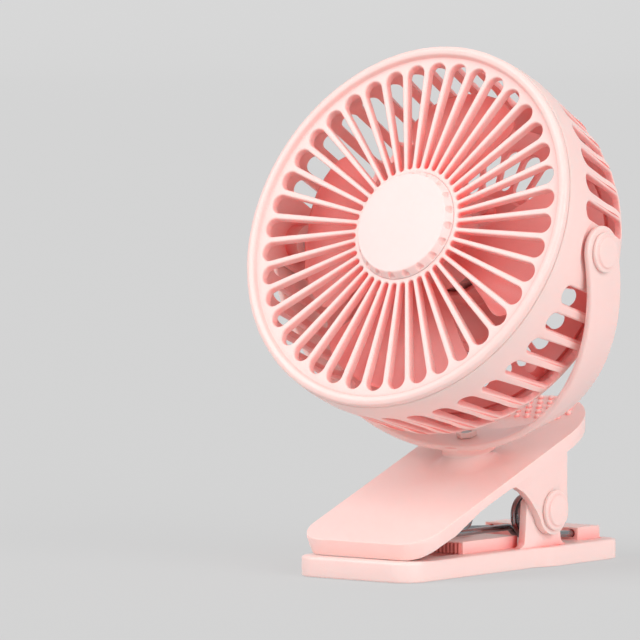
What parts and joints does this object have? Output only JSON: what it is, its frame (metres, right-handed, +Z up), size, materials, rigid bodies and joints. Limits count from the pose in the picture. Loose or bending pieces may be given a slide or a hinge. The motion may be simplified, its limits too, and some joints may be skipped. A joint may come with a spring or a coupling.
{
  "type": "clip fan",
  "caption": "Small round fan head in a tilting U yoke that swivels on a sprung clip, which also stands on a flat surface.",
  "frame": {"origin": "centre of the flat underside of the foot pad under the clip's lower jaw", "axes": "+Z up; -Y is the side that the clip opens to and the fan faces; +X to the fan's left as it faces forward"},
  "size_m": [0.1558, 0.1365, 0.1994],
  "materials": {
    "shell_pink": "satin pink moulding",
    "disc_pink": "matt pale pink",
    "blade_pink": "deeper pink, semi-gloss",
    "grip_pink": "soft silicone",
    "spring_black": "dark bright wire",
    "steel": "zinc-plated",
    "board_green": "solder mask",
    "cell_blue": "foil pouch",
    "lens_clear": "milky lens",
    "rubber_grey": "matt rubber"
  },
  "bodies": {
    "clip_base": {"lower_jaw": "shell_pink", "lower_grip_pad": "grip_pink", "foot_pad": "rubber_grey", "clip_pin_right": "steel", "clip_pin_left": "steel", "pin_cap_right": "shell_pink", "pin_cap_left": "shell_pink", "torsion_spring": "spring_black"},
    "clip_jaw": {"upper_jaw": "shell_pink", "upper_grip_pad": "grip_pink"},
    "neck": {"yoke": "shell_pink", "neck_washer": "rubber_grey", "neck_screw": "steel", "neck_nut": "steel", "pivot_pin_right": "steel", "pivot_cap_right": "shell_pink", "pivot_washer_right": "rubber_grey", "pivot_pin_left": "steel", "pivot_cap_left": "shell_pink", "pivot_washer_left": "rubber_grey"},
    "fan_head": {"front_cover": "shell_pink", "front_disc": "disc_pink", "rear_housing": "shell_pink", "rear_grille": "blade_pink", "motor": "steel", "pod_shell": "shell_pink", "circuit_board": "board_green", "battery_cell": "cell_blue", "charge_socket": "steel", "indicator_lens": "lens_clear", "housing_screw_1": "steel", "housing_screw_2": "steel", "housing_screw_3": "steel", "housing_screw_4": "steel", "pod_screw_1": "steel", "pod_screw_2": "steel", "pod_screw_3": "steel", "motor_screw_1": "steel", "motor_screw_2": "steel"},
    "rotor": {"impeller": "blade_pink", "motor_shaft": "steel"},
    "button": {"power_button": "disc_pink"}
  },
  "joints": [
    {"name": "jaw_open", "type": "hinge", "parent": "clip_base", "child": "clip_jaw", "pos_m": [0, 0.0224, 0.0219], "axis": [-1, 0, 0], "range_deg": [0, 28], "stiffness_Nm_per_rad": 2, "springref_deg": -17.19, "deforming": ["torsion_spring"]},
    {"name": "yoke_swivel", "type": "hinge", "parent": "clip_jaw", "child": "neck", "pos_m": [0, -0.01065, 0.1232], "axis": [0, -0.2334, 0.9724], "continuous": true},
    {"name": "head_tilt", "type": "hinge", "parent": "neck", "child": "fan_head", "pos_m": [0, -0.01065, 0.1232], "axis": [-1, 0, 0], "range_deg": [-38, 145]},
    {"name": "impeller_spin", "type": "hinge", "parent": "fan_head", "child": "rotor", "pos_m": [0, -0.033, 0.13223], "axis": [0, -0.9272, 0.3746], "continuous": true},
    {"name": "button_press", "type": "slide", "parent": "fan_head", "child": "button", "axis": [0, -0.9272, 0.3746], "range_m": [0, 0.001], "stiffness_N_per_m": 800}
  ]
}
